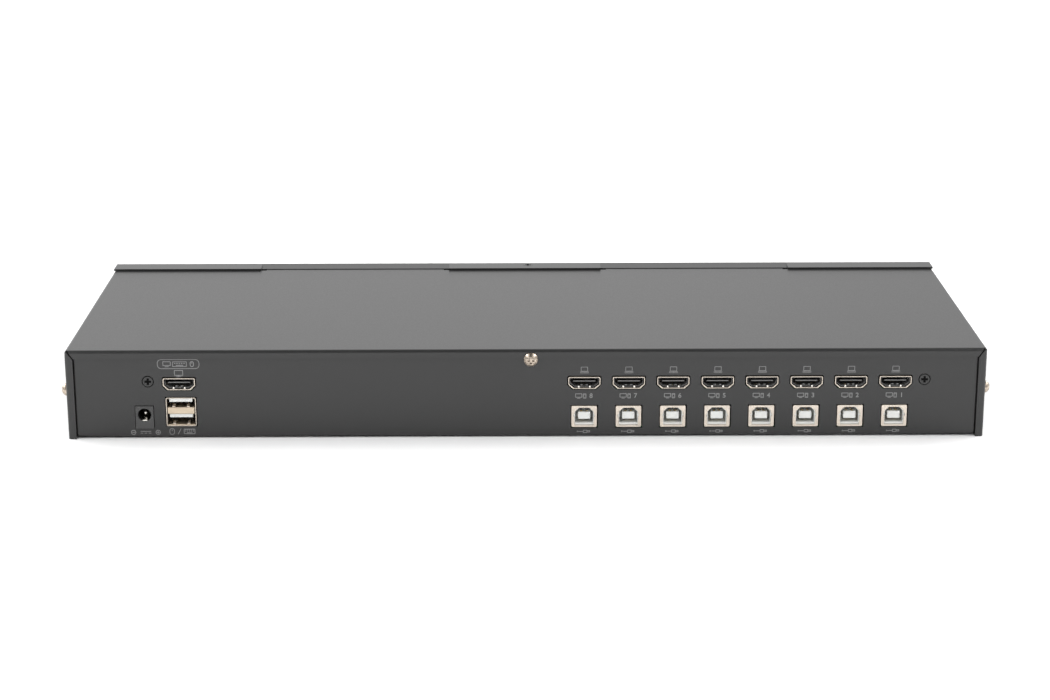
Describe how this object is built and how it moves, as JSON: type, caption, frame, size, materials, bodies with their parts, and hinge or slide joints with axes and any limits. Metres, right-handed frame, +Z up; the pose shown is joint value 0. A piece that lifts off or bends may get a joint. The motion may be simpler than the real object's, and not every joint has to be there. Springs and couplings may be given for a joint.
{
  "type": "kvm switch",
  "caption": "1U steel-cased KVM switch: folded cover on a chassis, rear rows of HDMI and USB sockets, front select buttons that press in.",
  "frame": {"origin": "centre of the case in plan, at the level of the cover's lower edges, which it stands on", "axes": "+Z up, -Y out of the rear socket panel, +Y out of the front buttons, +X to the right when the sockets are faced"},
  "size_m": [0.4374, 0.1643, 0.0444],
  "materials": {
    "case_paint": "fine-textured satin powder coat, near black",
    "overlay_film": "printed polycarbonate overlay, satin black",
    "button_plastic": "moulded button, fine matte texture",
    "plunger_plastic": "cream switch plunger",
    "black_plastic": "black moulding",
    "jack_plastic": "dark moulding",
    "white_plastic": "milky white moulding",
    "circuit_board": "green solder mask",
    "clear_acrylic": "clear acrylic",
    "led_resin": "clear and yellow resin",
    "socket_steel": "nickel-plated steel, warm tone",
    "bright_steel": "bright plated",
    "black_steel": "black oxide",
    "zinc_steel": "zinc plated",
    "brass_post": "turned brass",
    "black_aluminium": "black anodised",
    "chip_epoxy": "moulded epoxy",
    "can_sleeve": "printed sleeve, dark",
    "ferrite": "grey ferrite",
    "ribbon_grey": "grey vinyl",
    "clear_film": "milky polyester film"
  },
  "bodies": {
    "case": {"top_cover": "case_paint", "base_chassis": "case_paint", "front_overlay": "overlay_film", "switch_housings": "black_plastic", "button_board": "circuit_board", "port_light_pipes": "clear_acrylic", "power_light_pipe": "clear_acrylic", "port_leds": "led_resin", "power_led": "led_resin", "main_board": "circuit_board", "hdmi_board": "circuit_board", "hdmi_shells": "socket_steel", "hdmi_inserts": "black_plastic", "usb_b_shells": "socket_steel", "usb_b_inserts": "white_plastic", "usb_a_shell": "socket_steel", "usb_a_inserts": "white_plastic", "dc_jack_housing": "jack_plastic", "dc_jack_pin": "bright_steel", "hdmi_switch_chips": "chip_epoxy", "scaler_chip": "chip_epoxy", "heat_sink": "black_aluminium", "usb_hub_chips": "chip_epoxy", "controller_chip": "chip_epoxy", "capacitors": "can_sleeve", "inductors": "ferrite", "crystals": "bright_steel", "buzzer": "black_plastic", "board_connectors": "black_plastic", "ribbon_headers": "black_plastic", "ribbon_cable": "ribbon_grey", "pan_standoffs": "zinc_steel", "board_standoffs": "brass_post", "front_standoffs": "zinc_steel", "support_brackets": "zinc_steel", "rear_panel_screws": "black_steel", "rear_cover_screw": "bright_steel", "side_cover_screws": "bright_steel", "strip_screw": "black_steel", "board_screws": "bright_steel", "rack_nuts": "zinc_steel", "insulating_film": "clear_film"},
    "key_1": {"button_1": "button_plastic", "switch_plunger_1": "plunger_plastic"},
    "key_2": {"button_2": "button_plastic", "switch_plunger_2": "plunger_plastic"},
    "key_3": {"button_3": "button_plastic", "switch_plunger_3": "plunger_plastic"},
    "key_4": {"button_4": "button_plastic", "switch_plunger_4": "plunger_plastic"},
    "key_5": {"button_5": "button_plastic", "switch_plunger_5": "plunger_plastic"},
    "key_6": {"button_6": "button_plastic", "switch_plunger_6": "plunger_plastic"},
    "key_7": {"button_7": "button_plastic", "switch_plunger_7": "plunger_plastic"},
    "key_8": {"button_8": "button_plastic", "switch_plunger_8": "plunger_plastic"}
  },
  "joints": [
    {"name": "press_1", "type": "slide", "parent": "case", "child": "key_1", "axis": [0, -1, 0], "range_m": [0, 0.001], "stiffness_N_per_m": 800, "springref_m": -0.0005},
    {"name": "press_2", "type": "slide", "parent": "case", "child": "key_2", "axis": [0, -1, 0], "range_m": [0, 0.001], "stiffness_N_per_m": 800, "springref_m": -0.0005},
    {"name": "press_3", "type": "slide", "parent": "case", "child": "key_3", "axis": [0, -1, 0], "range_m": [0, 0.001], "stiffness_N_per_m": 800, "springref_m": -0.0005},
    {"name": "press_4", "type": "slide", "parent": "case", "child": "key_4", "axis": [0, -1, 0], "range_m": [0, 0.001], "stiffness_N_per_m": 800, "springref_m": -0.0005},
    {"name": "press_5", "type": "slide", "parent": "case", "child": "key_5", "axis": [0, -1, 0], "range_m": [0, 0.001], "stiffness_N_per_m": 800, "springref_m": -0.0005},
    {"name": "press_6", "type": "slide", "parent": "case", "child": "key_6", "axis": [0, -1, 0], "range_m": [0, 0.001], "stiffness_N_per_m": 800, "springref_m": -0.0005},
    {"name": "press_7", "type": "slide", "parent": "case", "child": "key_7", "axis": [0, -1, 0], "range_m": [0, 0.001], "stiffness_N_per_m": 800, "springref_m": -0.0005},
    {"name": "press_8", "type": "slide", "parent": "case", "child": "key_8", "axis": [0, -1, 0], "range_m": [0, 0.001], "stiffness_N_per_m": 800, "springref_m": -0.0005}
  ]
}
